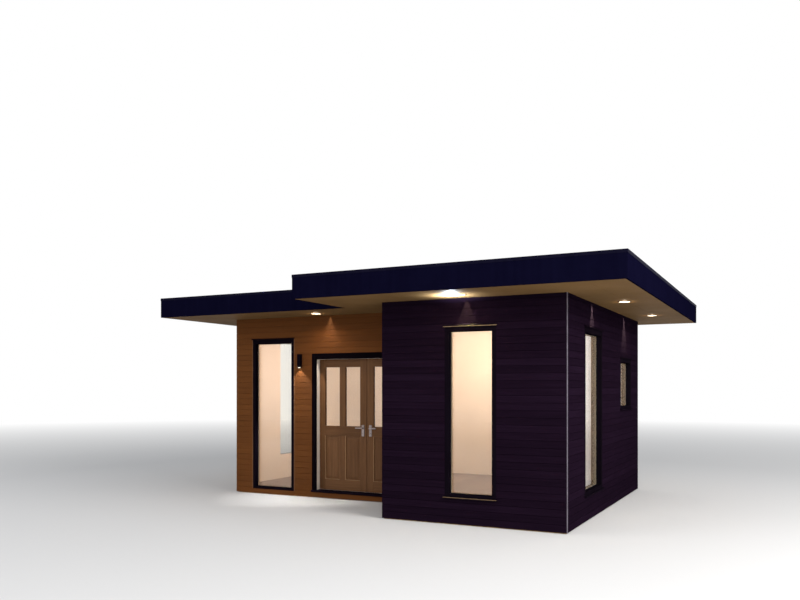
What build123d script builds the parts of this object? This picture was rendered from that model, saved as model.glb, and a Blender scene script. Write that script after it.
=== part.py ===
"""Tiny house: a dark front room, a brown entrance wing and one flat stepped roof.

Millimetres, +Z up. The front faces -Y. The origin is on the ground, under the middle of the roof.
"""
from build123d import *
import os

# Plan of the house, measured over the cladding
front_room_width = 2390
house_depth = 4450
porch_recess = 1215

# The entrance wall of the wing, from its outer corner to the front room
corner_pier = 324
entrance_window_width = 784
middle_pier = 326
door_frame_width = 1780
end_pier = 76

# Levels above the ground
floor_level = 118
soffit_level = 2755

# Roof
eaves_front = 840
eaves_right = 825
eaves_left = 800
eaves_back = 730
soffit_board = 18
roof_core_depth = 271
membrane_thickness = 5
fascia_thickness = 22
edge_trim_sheet = 3
edge_trim_drop = 34
edge_trim_reach = 90

# Wall build-up, from outside to inside
cladding_thickness = 20
cladding_ground_gap = 10
panel_thickness = 88
lining_thickness = 12

# Window frames and glass
frame_side_face = 54
frame_foot_face = 40
frame_head_face = 67
frame_depth = 100
frame_chamfer = 3
glass_setback = 70
glass_thickness = 24
glass_rebate = 14
window_top = 2420
tall_window_bottom = 335
left_window_bottom = 481
left_window_top = 2500
small_window_bottom = 1353
small_window_top = 2111
front_window_from_step = 1202
front_window_width = 662
side_window_from_front = 1300
side_window_width = 985
small_window_from_front = 3418
small_window_width = 836
left_window_width = 1280

# Sheet sills and head flashings of the windows
sill_proud = 32
head_flashing_proud = 20
flashing_sheet = 2.5
flashing_fall = 4
flashing_lip = 13
flashing_side = 14

# Door frame
door_frame_top = 2184
jamb_face = 69
jamb_stop = 12
head_face = 86
door_frame_depth = 160
surround_depth = 33
threshold_thickness = 30
threshold_proud = 28
threshold_chamfer = 8

# Door leaves
leaf_thickness = 42
leaf_clearance = 5
meeting_gap = 8
hinge_stile = 103
meeting_stile = 108
muntin = 95
top_rail = 123
bottom_rail = 159
lock_rail = 142
lock_rail_bottom = 944
panel_recess = 13
panel_field_margin = 32
panel_field_rise = 8
leaf_moulding = 5
door_glass_thickness = 14
door_glass_rebate = 9

# Door hinges
hinge_count = 3
hinge_height = 102
hinge_end_margin = 180
hinge_plate_width = 30
hinge_plate_thickness = 2.5
knuckle_radius = 7
pin_radius = 4
pin_clearance = 0.4
knuckle_gap = 1
knuckle_side_gap = 2

# Door handles
handle_plate_width = 46
handle_plate_height = 170
handle_plate_thickness = 8
handle_plate_corner = 10
handle_plate_edge = 2
handle_from_edge = 59
spindle_height = 1068
spindle_radius = 5
spindle_hole_radius = 7
neck_radius = 9
neck_length = 40
neck_clearance = 2
lever_length = 122
lever_height = 20
lever_depth = 13
lever_edge = 4
spindle_above_plate_foot = 123

# Lights
downlight_rim_radius = 88
downlight_lens_radius = 70
downlight_rim_thickness = 6
downlight_rim_edge = 3
front_downlight_setback = 330
side_downlight_setback = 385
wing_downlight_from_corner = 1722
wall_light_from_door = 207
wall_light_bottom = 1977
wall_light_height = 202
wall_light_width = 56
wall_light_reach = 56
wall_light_plate = 10
wall_light_lens_recess = 6
wall_light_corner = 6

# Corner angle of the dark cladding
corner_angle_leg = 8
corner_angle_sheet = 2

# Places that follow from the sizes above
wall_thickness = cladding_thickness + panel_thickness + lining_thickness
panel_inside = cladding_thickness + panel_thickness
wing_width = corner_pier + entrance_window_width + middle_pier + door_frame_width + end_pier
house_width = wing_width + front_room_width
roof_width = eaves_left + house_width + eaves_right
roof_depth = eaves_front + house_depth + eaves_back
x_left = eaves_left - roof_width / 2
x_step = x_left + wing_width
x_right = x_step + front_room_width
y_front = eaves_front - roof_depth / 2
y_entrance = y_front + porch_recess
y_back = y_front + house_depth
core_bottom = soffit_level + soffit_board
core_top = core_bottom + roof_core_depth
membrane_top = core_top + membrane_thickness
front_room_centre = (x_step + x_right) / 2

frame_right = x_step - end_pier
frame_left = frame_right - door_frame_width
door_centre = (frame_left + frame_right) / 2
head_underside = door_frame_top - head_face
threshold_bottom = floor_level - threshold_thickness
stop_depth = door_frame_depth - leaf_thickness - leaf_clearance
leaf_front = y_entrance + door_frame_depth - leaf_thickness
leaf_back = y_entrance + door_frame_depth
leaf_hinge_edge = frame_left + jamb_face - jamb_stop + leaf_clearance
leaf_meeting_edge = door_centre - meeting_gap / 2
leaf_bottom = floor_level + leaf_clearance
leaf_top = head_underside + jamb_stop - leaf_clearance
leaf_width = leaf_meeting_edge - leaf_hinge_edge
pane_width = (leaf_width - hinge_stile - meeting_stile - muntin) / 2
pane_bottom = lock_rail_bottom + lock_rail
pane_top = leaf_top - top_rail
pane_height = pane_top - pane_bottom
panel_bottom = leaf_bottom + bottom_rail
panel_height = lock_rail_bottom - panel_bottom
hinge_axis_x = frame_left + jamb_face - jamb_stop
hinge_axis_y = leaf_back + knuckle_radius
spindle_x = leaf_meeting_edge - handle_from_edge

# Wall faces. On each plane local X runs along the wall, local Y is up, and Z points out of the house.
front_face = Plane(origin=(0, y_front, 0), x_dir=(1, 0, 0), z_dir=(0, -1, 0))
entrance_face = Plane(origin=(0, y_entrance, 0), x_dir=(1, 0, 0), z_dir=(0, -1, 0))
right_face = Plane(origin=(x_right, 0, 0), x_dir=(0, 1, 0), z_dir=(1, 0, 0))
left_face = Plane(origin=(x_left, 0, 0), x_dir=(0, -1, 0), z_dir=(-1, 0, 0))
back_face = Plane(origin=(0, y_back, 0), x_dir=(-1, 0, 0), z_dir=(0, 1, 0))
door_mirror = Plane.YZ.offset(door_centre)


class Window:
    """A fixed window: its wall face, its middle along that face, its width and its two levels."""

    def __init__(self, face, middle, width, bottom, top):
        self.face = face
        self.middle = middle
        self.width = width
        self.bottom = bottom
        self.top = top

    def block(self, side, foot, head, depth_from, depth_to):
        """A block as large as the opening less three insets, between two depths in the wall."""
        level = (self.bottom + foot + self.top - head) / 2
        height = self.top - head - self.bottom - foot
        with BuildPart() as block:
            with BuildSketch(self.face.offset(-depth_to)):
                with Locations((self.middle, level)):
                    Rectangle(self.width - 2 * side, height)
            extrude(amount=depth_to - depth_from)
        return block.part

    def hole(self):
        """The opening through the whole wall."""
        return self.block(0, 0, 0, 0, wall_thickness)

    def daylight(self, depth_from, depth_to):
        """The clear space inside the frame, between two depths in the wall."""
        return self.block(frame_side_face, frame_foot_face, frame_head_face, depth_from, depth_to)

    def glass(self):
        """The sealed glass unit, seated in the groove of the frame."""
        return self.block(frame_side_face - glass_rebate, frame_foot_face - glass_rebate,
                          frame_head_face - glass_rebate, glass_setback,
                          glass_setback + glass_thickness)

    def frame(self):
        """The frame, with a groove for the glass and a chamfer towards the weather."""
        outer = self.block(0, 0, 0, 0, frame_depth)
        daylight = self.daylight(0, frame_depth)
        groove = self.glass()
        with BuildPart() as frame:
            add(outer)
            add(daylight, mode=Mode.SUBTRACT)
            rim = frame.faces().sort_by(Axis(self.face.origin, self.face.z_dir))[-1]
            chamfer(rim.inner_wires()[0].edges(), frame_chamfer)
            add(groove, mode=Mode.SUBTRACT)
        return frame.part

    def reveal(self):
        """The boards behind the frame, which line the opening up to the face of the room."""
        boards = self.block(0, 0, 0, frame_depth, wall_thickness)
        daylight = self.daylight(frame_depth, wall_thickness)
        with BuildPart() as reveal:
            add(boards)
            add(daylight, mode=Mode.SUBTRACT)
        return reveal.part

    def flashing(self, level, proud):
        """A bent sheet along the opening's foot or head, with a fall and a lip in front."""
        length = self.width + 2 * flashing_side
        start = self.face.from_local_coords((self.middle + length / 2, level, 0))
        with BuildPart() as flashing:
            with BuildSketch(Plane(origin=start, x_dir=self.face.z_dir, z_dir=-self.face.x_dir)):
                Polygon((0, 0), (proud, -flashing_fall), (proud, -flashing_fall - flashing_lip),
                        (proud - flashing_sheet, -flashing_fall - flashing_lip),
                        (proud - flashing_sheet, -flashing_fall - flashing_sheet),
                        (0, -flashing_sheet), align=None)
            extrude(amount=length)
        return flashing.part


entrance_window = Window(entrance_face, x_left + corner_pier + entrance_window_width / 2,
                         entrance_window_width, floor_level - frame_foot_face, window_top)
front_window = Window(front_face, x_step + front_window_from_step, front_window_width, tall_window_bottom,
                      window_top)
side_window = Window(right_face, y_front + side_window_from_front, side_window_width,
                     tall_window_bottom, window_top)
small_window = Window(right_face, y_front + small_window_from_front, small_window_width,
                      small_window_bottom, small_window_top)
left_window = Window(left_face, -(y_entrance + y_back) / 2, left_window_width, left_window_bottom,
                     left_window_top)
back_window = Window(back_face, -front_room_centre, small_window_width, small_window_bottom,
                     small_window_top)
dark_windows = [front_window, side_window, small_window, back_window]
brown_windows = [entrance_window, left_window]
flashed_windows = [front_window, side_window, small_window, back_window, left_window]


def rectangle_between(x_low, x_high, y_low, y_high, mode=Mode.ADD):
    """A rectangle in the open sketch, given by its sides."""
    with Locations(((x_low + x_high) / 2, (y_low + y_high) / 2)):
        Rectangle(x_high - x_low, y_high - y_low, mode=mode)


def house_outline(inset, mode=Mode.ADD):
    """The stepped plan of the walls in the open sketch, drawn in by an inset."""
    Polygon((x_left + inset, y_entrance + inset), (x_step + inset, y_entrance + inset),
            (x_step + inset, y_front + inset), (x_right - inset, y_front + inset),
            (x_right - inset, y_back - inset), (x_left + inset, y_back - inset),
            align=None, mode=mode)


def roof_outline(inset, mode=Mode.ADD):
    """The stepped plan of the roof in the open sketch, drawn in by an inset."""
    left = x_left - eaves_left + inset
    step = x_step - eaves_left + inset
    right = x_right + eaves_right - inset
    wing_front = y_entrance - eaves_front + inset
    front = y_front - eaves_front + inset
    back = y_back + eaves_back - inset
    Polygon((left, wing_front), (step, wing_front), (step, front), (right, front),
            (right, back), (left, back), align=None, mode=mode)


pieces = []


def keep(name, builder):
    """Label a finished piece and add it to the list of pieces that are written."""
    builder.part.label = name
    pieces.append(builder.part)


# Openings that several layers of the wall share
dark_holes = [window.hole() for window in dark_windows]
brown_holes = [window.hole() for window in brown_windows]

with BuildPart() as door_hole:
    with BuildSketch(Plane.XY.offset(threshold_bottom)):
        rectangle_between(frame_left, frame_right, y_entrance, y_entrance + wall_thickness)
    extrude(amount=door_frame_top - threshold_bottom)

# Floor, with a tongue that carries the threshold
with BuildPart() as floor:
    with BuildSketch():
        house_outline(panel_inside)
    extrude(amount=floor_level)
    with BuildSketch():
        rectangle_between(frame_left, frame_right, y_entrance + cladding_thickness,
                          y_entrance + panel_inside)
    extrude(amount=threshold_bottom)
keep("floor", floor)

# Insulated wall panels
with BuildPart() as front_wall:
    with BuildSketch():
        rectangle_between(x_step + cladding_thickness, x_right - cladding_thickness,
                          y_front + cladding_thickness, y_front + panel_inside)
    extrude(amount=soffit_level)
    add(dark_holes, mode=Mode.SUBTRACT)
keep("front_wall", front_wall)

with BuildPart() as right_wall:
    with BuildSketch():
        rectangle_between(x_right - panel_inside, x_right - cladding_thickness,
                          y_front + panel_inside, y_back - panel_inside)
    extrude(amount=soffit_level)
    add(dark_holes, mode=Mode.SUBTRACT)
keep("right_wall", right_wall)

with BuildPart() as return_wall:
    with BuildSketch():
        rectangle_between(x_step + cladding_thickness, x_step + panel_inside,
                          y_front + panel_inside, y_entrance + panel_inside)
    extrude(amount=soffit_level)
keep("return_wall", return_wall)

with BuildPart() as back_wall:
    with BuildSketch():
        rectangle_between(x_left + cladding_thickness, x_right - cladding_thickness,
                          y_back - panel_inside, y_back - cladding_thickness)
    extrude(amount=soffit_level)
    add(dark_holes, mode=Mode.SUBTRACT)
keep("back_wall", back_wall)

with BuildPart() as left_wall:
    with BuildSketch():
        rectangle_between(x_left + cladding_thickness, x_left + panel_inside,
                          y_entrance + panel_inside, y_back - panel_inside)
    extrude(amount=soffit_level)
    add(brown_holes, mode=Mode.SUBTRACT)
keep("left_wall", left_wall)

with BuildPart() as entrance_wall:
    with BuildSketch():
        rectangle_between(x_left + cladding_thickness, frame_left,
                          y_entrance + cladding_thickness, y_entrance + panel_inside)
    extrude(amount=soffit_level)
    add(brown_holes, mode=Mode.SUBTRACT)
keep("entrance_wall", entrance_wall)

with BuildPart() as entrance_wall_end:
    with BuildSketch():
        rectangle_between(frame_right, x_step + cladding_thickness,
                          y_entrance + cladding_thickness, y_entrance + panel_inside)
    extrude(amount=soffit_level)
keep("entrance_wall_end", entrance_wall_end)

with BuildPart() as wall_over_door:
    with BuildSketch(Plane.XY.offset(door_frame_top)):
        rectangle_between(frame_left, frame_right, y_entrance + cladding_thickness,
                          y_entrance + panel_inside)
    extrude(amount=soffit_level - door_frame_top)
keep("wall_over_door", wall_over_door)

# Cladding: dark round the front room, brown round the wing
with BuildPart() as dark_cladding:
    with BuildSketch(Plane.XY.offset(cladding_ground_gap)):
        house_outline(0)
        house_outline(cladding_thickness, Mode.SUBTRACT)
        split(bisect_by=Plane.YZ.offset(x_step), keep=Keep.TOP)
    extrude(amount=soffit_level - cladding_ground_gap)
    add(dark_holes, mode=Mode.SUBTRACT)
keep("dark_cladding", dark_cladding)

with BuildPart() as brown_cladding:
    with BuildSketch(Plane.XY.offset(cladding_ground_gap)):
        house_outline(0)
        house_outline(cladding_thickness, Mode.SUBTRACT)
        split(bisect_by=Plane.YZ.offset(x_step), keep=Keep.BOTTOM)
    extrude(amount=soffit_level - cladding_ground_gap)
    add(brown_holes, mode=Mode.SUBTRACT)
    add(door_hole.part, mode=Mode.SUBTRACT)
keep("brown_cladding", brown_cladding)

with BuildPart() as corner_angle:
    with BuildSketch(Plane.XY.offset(cladding_ground_gap)):
        rectangle_between(x_right - corner_angle_leg, x_right + corner_angle_sheet,
                          y_front - corner_angle_sheet, y_front)
        rectangle_between(x_right, x_right + corner_angle_sheet,
                          y_front - corner_angle_sheet, y_front + corner_angle_leg)
    extrude(amount=soffit_level - cladding_ground_gap)
keep("corner_angle", corner_angle)

# Room lining, with the boards that line the window openings
reveals = [window.reveal() for window in dark_windows + brown_windows]
with BuildPart() as entrance_sill:
    with BuildSketch(Plane.XY.offset(entrance_window.bottom)):
        rectangle_between(entrance_window.middle - entrance_window.width / 2,
                          entrance_window.middle + entrance_window.width / 2,
                          y_entrance + frame_depth, y_entrance + panel_inside)
    extrude(amount=floor_level - entrance_window.bottom)

with BuildPart() as room_lining:
    with BuildSketch(Plane.XY.offset(floor_level)):
        house_outline(panel_inside)
        house_outline(wall_thickness, Mode.SUBTRACT)
    extrude(amount=soffit_level - floor_level)
    add(dark_holes + brown_holes, mode=Mode.SUBTRACT)
    add(door_hole.part, mode=Mode.SUBTRACT)
    add(reveals)
    add(floor.part, mode=Mode.SUBTRACT)
    add(entrance_sill.part)
keep("room_lining", room_lining)

# Roof: soffit and ceiling board, core, membrane, fascia and edge trim
downlight_places = [
    (x_left + wing_downlight_from_corner, y_entrance - front_downlight_setback),
    (front_room_centre, y_front - front_downlight_setback),
    (x_right + side_downlight_setback, side_window.middle),
    (x_right + side_downlight_setback, small_window.middle),
    (x_left - side_downlight_setback, -left_window.middle),
    (front_room_centre, y_back + side_downlight_setback),
]

with BuildPart() as soffit:
    with BuildSketch(Plane.XY.offset(soffit_level)):
        roof_outline(fascia_thickness)
        with Locations(downlight_places):
            Circle(downlight_lens_radius, mode=Mode.SUBTRACT)
    extrude(amount=soffit_board)
keep("soffit", soffit)

with BuildPart() as roof_core:
    with BuildSketch(Plane.XY.offset(core_bottom)):
        roof_outline(fascia_thickness)
    extrude(amount=roof_core_depth)
keep("roof_core", roof_core)

with BuildPart() as roof_membrane:
    with BuildSketch(Plane.XY.offset(core_top)):
        roof_outline(0)
    extrude(amount=membrane_thickness)
keep("roof_membrane", roof_membrane)

with BuildPart() as fascia:
    with BuildSketch(Plane.XY.offset(soffit_level)):
        roof_outline(0)
        roof_outline(fascia_thickness, Mode.SUBTRACT)
    extrude(amount=core_top - soffit_level)
keep("fascia", fascia)

with BuildPart() as roof_edge_trim:
    with BuildSketch(Plane.XY.offset(membrane_top)):
        roof_outline(-edge_trim_sheet)
        roof_outline(edge_trim_reach, Mode.SUBTRACT)
    extrude(amount=edge_trim_sheet)
    with BuildSketch(Plane.XY.offset(membrane_top - edge_trim_drop)):
        roof_outline(-edge_trim_sheet)
        roof_outline(0, Mode.SUBTRACT)
    extrude(amount=edge_trim_drop)
keep("roof_edge_trim", roof_edge_trim)

# Windows
window_sets = {
    "entrance_window": [entrance_window],
    "front_window": [front_window],
    "right_windows": [side_window, small_window],
    "left_window": [left_window],
    "back_window": [back_window],
}
for set_name, windows in window_sets.items():
    frames = [window.frame() for window in windows]
    sheets = [window.glass() for window in windows]
    with BuildPart() as window_frame:
        add(frames)
    keep(set_name + "_frame", window_frame)
    with BuildPart() as window_glass:
        add(sheets)
    keep(set_name + "_glass", window_glass)

sills = [window.flashing(window.bottom, sill_proud) for window in flashed_windows]
head_flashings = [window.flashing(window.top + flashing_fall + flashing_lip, head_flashing_proud)
                  for window in flashed_windows + [entrance_window]]
with BuildPart() as window_flashings:
    add(sills)
    add(head_flashings)
keep("window_flashings", window_flashings)

# Door frame: jambs and head with a stop, a dark surround in front, and a threshold
with BuildPart() as door_jamb_left:
    with BuildSketch(Plane.XY.offset(floor_level)):
        rectangle_between(frame_left, frame_left + jamb_face,
                          y_entrance + surround_depth, y_entrance + stop_depth)
        rectangle_between(frame_left, frame_left + jamb_face - jamb_stop,
                          y_entrance + surround_depth, y_entrance + door_frame_depth)
    extrude(amount=head_underside - floor_level)
keep("door_jamb_left", door_jamb_left)

with BuildPart() as door_jamb_right:
    mirror(door_jamb_left.part, about=door_mirror)
keep("door_jamb_right", door_jamb_right)

with BuildPart() as door_head:
    with BuildSketch(Plane.YZ.offset(frame_left)):
        rectangle_between(y_entrance + surround_depth, y_entrance + stop_depth,
                          head_underside, door_frame_top)
        rectangle_between(y_entrance + stop_depth, y_entrance + door_frame_depth,
                          head_underside + jamb_stop, door_frame_top)
    extrude(amount=door_frame_width)
keep("door_head", door_head)

with BuildPart() as door_surround:
    with BuildSketch(entrance_face.offset(-surround_depth)):
        rectangle_between(frame_left, frame_right, floor_level, door_frame_top)
        rectangle_between(frame_left + jamb_face, frame_right - jamb_face, floor_level,
                          head_underside, Mode.SUBTRACT)
    extrude(amount=surround_depth)
keep("door_surround", door_surround)

with BuildPart() as threshold:
    with BuildSketch(Plane.XY.offset(threshold_bottom)):
        rectangle_between(frame_left, frame_right, y_entrance - threshold_proud,
                          y_entrance + panel_inside)
    extrude(amount=threshold_thickness)
    nose = threshold.faces().sort_by(Axis.Y)[0].edges().sort_by(Axis.Z)[-1]
    chamfer(nose, threshold_chamfer)
keep("threshold", threshold)

# Left door leaf: stiles, rails and a muntin, two panes above and two raised panels below
leaf_face = Plane(origin=(0, leaf_front, 0), x_dir=(1, 0, 0), z_dir=(0, -1, 0))
leaf_rear = Plane(origin=(0, leaf_back, 0), x_dir=(-1, 0, 0), z_dir=(0, 1, 0))
pane_centres = [leaf_hinge_edge + hinge_stile + pane_width / 2,
                leaf_meeting_edge - meeting_stile - pane_width / 2]
pane_middle = (pane_bottom + pane_top) / 2
panel_middle = panel_bottom + panel_height / 2
groove_front = (leaf_thickness - door_glass_thickness) / 2

with BuildPart() as left_door_leaf:
    with BuildSketch(leaf_face.offset(-leaf_thickness)):
        rectangle_between(leaf_hinge_edge, leaf_meeting_edge, leaf_bottom, leaf_top)
    extrude(amount=leaf_thickness)
    with BuildSketch(leaf_face.offset(-leaf_thickness)):
        with Locations([(x, pane_middle) for x in pane_centres]):
            Rectangle(pane_width, pane_height)
    extrude(amount=leaf_thickness, mode=Mode.SUBTRACT)
    for face_of_leaf in (left_door_leaf.faces().sort_by(Axis.Y)[0],
                         left_door_leaf.faces().sort_by(Axis.Y)[-1]):
        chamfer(face_of_leaf.inner_wires().edges(), leaf_moulding)
    with BuildSketch(leaf_face.offset(-groove_front - door_glass_thickness)):
        with Locations([(x, pane_middle) for x in pane_centres]):
            Rectangle(pane_width + 2 * door_glass_rebate, pane_height + 2 * door_glass_rebate)
    extrude(amount=door_glass_thickness, mode=Mode.SUBTRACT)
    for side, sign in ((leaf_face, 1), (leaf_rear, -1)):
        with BuildSketch(side.offset(-panel_recess)):
            with Locations([(sign * x, panel_middle) for x in pane_centres]):
                Rectangle(pane_width, panel_height)
        extrude(amount=panel_recess, mode=Mode.SUBTRACT)
        with BuildSketch(side.offset(-panel_recess)):
            with Locations([(sign * x, panel_middle) for x in pane_centres]):
                Rectangle(pane_width - panel_field_margin, panel_height - panel_field_margin)
        extrude(amount=panel_field_rise, taper=45)
    with BuildSketch(leaf_face.offset(-leaf_thickness)):
        with Locations((spindle_x, spindle_height)):
            Circle(spindle_hole_radius)
    extrude(amount=leaf_thickness, mode=Mode.SUBTRACT)
keep("left_door_leaf", left_door_leaf)

with BuildPart() as left_door_glass:
    with BuildSketch(leaf_face.offset(-groove_front - door_glass_thickness)):
        with Locations([(x, pane_middle) for x in pane_centres]):
            Rectangle(pane_width + 2 * door_glass_rebate, pane_height + 2 * door_glass_rebate)
    extrude(amount=door_glass_thickness)
keep("left_door_glass", left_door_glass)

# Hinges: the pin and two knuckles belong to the jamb, the middle knuckle to the leaf
hinge_low = leaf_bottom + hinge_end_margin
hinge_high = leaf_top - hinge_end_margin - hinge_height
hinge_step = (hinge_high - hinge_low) / (hinge_count - 1)
hinge_bottoms = [hinge_low + index * hinge_step for index in range(hinge_count)]
knuckle_height = (hinge_height - 2 * knuckle_gap) / 3
knuckle_clear = knuckle_radius + knuckle_side_gap

with BuildPart() as left_jamb_hinges:
    for bottom in hinge_bottoms:
        with BuildSketch(Plane.XY.offset(bottom)):
            rectangle_between(hinge_axis_x - hinge_plate_width, hinge_axis_x - knuckle_clear,
                              leaf_back, leaf_back + hinge_plate_thickness)
        extrude(amount=hinge_height)
        for knuckle_bottom in (bottom, bottom + hinge_height - knuckle_height):
            with BuildSketch(Plane.XY.offset(knuckle_bottom)):
                with Locations((hinge_axis_x, hinge_axis_y)):
                    Circle(knuckle_radius)
                rectangle_between(hinge_axis_x - knuckle_clear, hinge_axis_x, leaf_back,
                                  leaf_back + hinge_plate_thickness)
            extrude(amount=knuckle_height)
        with BuildSketch(Plane.XY.offset(bottom)):
            with Locations((hinge_axis_x, hinge_axis_y)):
                Circle(pin_radius)
        extrude(amount=hinge_height)
keep("left_jamb_hinges", left_jamb_hinges)

with BuildPart() as left_door_hinges:
    for bottom in hinge_bottoms:
        with BuildSketch(Plane.XY.offset(bottom)):
            rectangle_between(hinge_axis_x + knuckle_clear, hinge_axis_x + hinge_plate_width,
                              leaf_back, leaf_back + hinge_plate_thickness)
        extrude(amount=hinge_height)
        with BuildSketch(Plane.XY.offset(bottom + knuckle_height + knuckle_gap)):
            with Locations((hinge_axis_x, hinge_axis_y)):
                Circle(knuckle_radius)
            rectangle_between(hinge_axis_x, hinge_axis_x + knuckle_clear, leaf_back,
                              leaf_back + hinge_plate_thickness)
            with Locations((hinge_axis_x, hinge_axis_y)):
                Circle(pin_radius + pin_clearance, mode=Mode.SUBTRACT)
        extrude(amount=knuckle_height)
keep("left_door_hinges", left_door_hinges)

# Handles: a plate on each face of the leaf, and one turning piece through it
handle_plate_middle = spindle_height - spindle_above_plate_foot + handle_plate_height / 2
with BuildPart() as left_handle_plates:
    for plane, sign in ((leaf_face, 1), (leaf_rear, -1)):
        with BuildSketch(plane):
            with Locations((sign * spindle_x, handle_plate_middle)):
                RectangleRounded(handle_plate_width, handle_plate_height, handle_plate_corner)
        extrude(amount=handle_plate_thickness)
    plate_faces = left_handle_plates.faces().sort_by(Axis.Y)
    chamfer(plate_faces[0].edges() + plate_faces[-1].edges(), handle_plate_edge)
    with BuildSketch(leaf_face.offset(handle_plate_thickness)):
        with Locations((spindle_x, spindle_height)):
            Circle(neck_radius + neck_clearance)
    extrude(amount=-leaf_thickness - 2 * handle_plate_thickness, mode=Mode.SUBTRACT)
keep("left_handle_plates", left_handle_plates)

with BuildPart() as left_lever:
    with BuildSketch(leaf_face.offset(neck_length)):
        with Locations((spindle_x, spindle_height)):
            Circle(spindle_radius)
    extrude(amount=-leaf_thickness - 2 * neck_length)
    for plane, sign in ((leaf_face, 1), (leaf_rear, -1)):
        with BuildSketch(plane):
            with Locations((sign * spindle_x, spindle_height)):
                Circle(neck_radius)
        extrude(amount=neck_length)
        with BuildSketch(plane.offset(neck_length)):
            with Locations((sign * (spindle_x - lever_length / 2 + lever_height / 2),
                            spindle_height)):
                SlotOverall(lever_length, lever_height)
        extrude(amount=lever_depth)
    lever_faces = left_lever.faces().sort_by(Axis.Y)
    fillet(lever_faces[0].edges() + lever_faces[-1].edges(), lever_edge)
keep("left_lever", left_lever)

# The right leaf and its fittings mirror the left ones
mirrored = {
    "right_door_leaf": left_door_leaf,
    "right_door_glass": left_door_glass,
    "right_door_hinges": left_door_hinges,
    "right_jamb_hinges": left_jamb_hinges,
    "right_handle_plates": left_handle_plates,
    "right_lever": left_lever,
}
for name, source in mirrored.items():
    with BuildPart() as mirror_piece:
        mirror(source.part, about=door_mirror)
    keep(name, mirror_piece)

# Lights: round downlights in the soffit, and one lamp on the entrance wall
with BuildPart() as downlight_rims:
    with BuildSketch(Plane.XY.offset(soffit_level - downlight_rim_thickness)):
        with Locations(downlight_places):
            Circle(downlight_rim_radius)
            Circle(downlight_lens_radius, mode=Mode.SUBTRACT)
    extrude(amount=downlight_rim_thickness)
    rim_undersides = downlight_rims.faces().filter_by(Axis.Z).group_by(Axis.Z)[0]
    chamfer(rim_undersides.edges(), downlight_rim_edge)
keep("downlight_rims", downlight_rims)

with BuildPart() as downlight_lenses:
    with BuildSketch(Plane.XY.offset(soffit_level - downlight_rim_thickness / 2)):
        with Locations(downlight_places):
            Circle(downlight_lens_radius)
    extrude(amount=soffit_board + downlight_rim_thickness / 2)
keep("downlight_lenses", downlight_lenses)

wall_light_x = frame_left - wall_light_from_door
with BuildPart() as wall_light:
    with BuildSketch(Plane.XY.offset(wall_light_bottom)):
        rectangle_between(wall_light_x - wall_light_width / 2, wall_light_x + wall_light_width / 2,
                          y_entrance - wall_light_reach, y_entrance)
    extrude(amount=wall_light_height)
    front_edges = wall_light.faces().sort_by(Axis.Y)[0].edges().filter_by(Axis.Z)
    fillet(front_edges, wall_light_corner)
    with BuildSketch(Plane.XY.offset(wall_light_bottom)):
        with Locations((wall_light_x, y_entrance - (wall_light_reach + wall_light_plate) / 2)):
            Circle(wall_light_width / 2 - wall_light_plate)
    extrude(amount=wall_light_plate + wall_light_lens_recess, mode=Mode.SUBTRACT)
keep("wall_light", wall_light)

with BuildPart() as wall_light_lens:
    with BuildSketch(Plane.XY.offset(wall_light_bottom + wall_light_lens_recess)):
        with Locations((wall_light_x, y_entrance - (wall_light_reach + wall_light_plate) / 2)):
            Circle(wall_light_width / 2 - wall_light_plate)
    extrude(amount=wall_light_plate)
keep("wall_light_lens", wall_light_lens)

os.makedirs("parts", exist_ok=True)
for piece in pieces:
    export_step(piece, f"parts/{piece.label}.step")
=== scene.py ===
"""The looks of the tiny house: boards, glazed doors, windows, roof sheets, fittings and lamps."""
import math
import random

import bmesh
import bpy
from mathutils import Matrix, Vector


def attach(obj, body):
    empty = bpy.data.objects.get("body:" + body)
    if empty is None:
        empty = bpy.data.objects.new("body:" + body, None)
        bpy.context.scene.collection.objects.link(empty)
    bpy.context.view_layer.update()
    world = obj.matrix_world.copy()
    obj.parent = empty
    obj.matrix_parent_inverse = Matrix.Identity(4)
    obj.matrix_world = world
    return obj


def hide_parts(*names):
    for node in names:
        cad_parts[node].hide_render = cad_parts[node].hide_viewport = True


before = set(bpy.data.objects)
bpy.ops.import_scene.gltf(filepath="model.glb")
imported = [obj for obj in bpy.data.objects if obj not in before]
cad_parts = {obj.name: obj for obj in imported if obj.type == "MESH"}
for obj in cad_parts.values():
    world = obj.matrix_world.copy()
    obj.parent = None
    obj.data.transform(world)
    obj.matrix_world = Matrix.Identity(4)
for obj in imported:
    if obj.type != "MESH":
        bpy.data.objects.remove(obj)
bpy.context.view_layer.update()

chance = random.Random(7)
UP = Vector((0, 0, 1))
sort_line = Vector((1.0, 31.7, 977.3))

# The house's main lines, in metres
x_left = -2.8525
x_step = 0.4375
x_right = 2.8275
y_front = -2.170
y_entrance = -0.955
y_back = 2.280
soffit_level = 2.755
core_top = 3.044
roof_left = -3.6525
roof_right = 3.6525
roof_step = -0.3625
roof_front = -3.010
wing_roof_front = -1.795
roof_back = 3.010
cladding = 0.020
ground_gap = 0.010

# The doorway and its left leaf
frame_left = -1.4185
frame_right = 0.3615
door_centre = -0.5285
door_top = 2.184
threshold_bottom = 0.088
leaf_hinge_edge = -1.3565
leaf_meeting_edge = -0.5325
leaf_front = -0.837
leaf_back = -0.795
leaf_middle = (leaf_front + leaf_back) / 2
leaf_bottom = 0.123
leaf_top = 2.105
hinge_stile = 0.103
meeting_stile = 0.108
top_rail = 0.123
bottom_rail = 0.159
lock_rail_bottom = 0.944
lock_rail_top = 1.086
pane_width = 0.259


# Shader expressions

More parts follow.
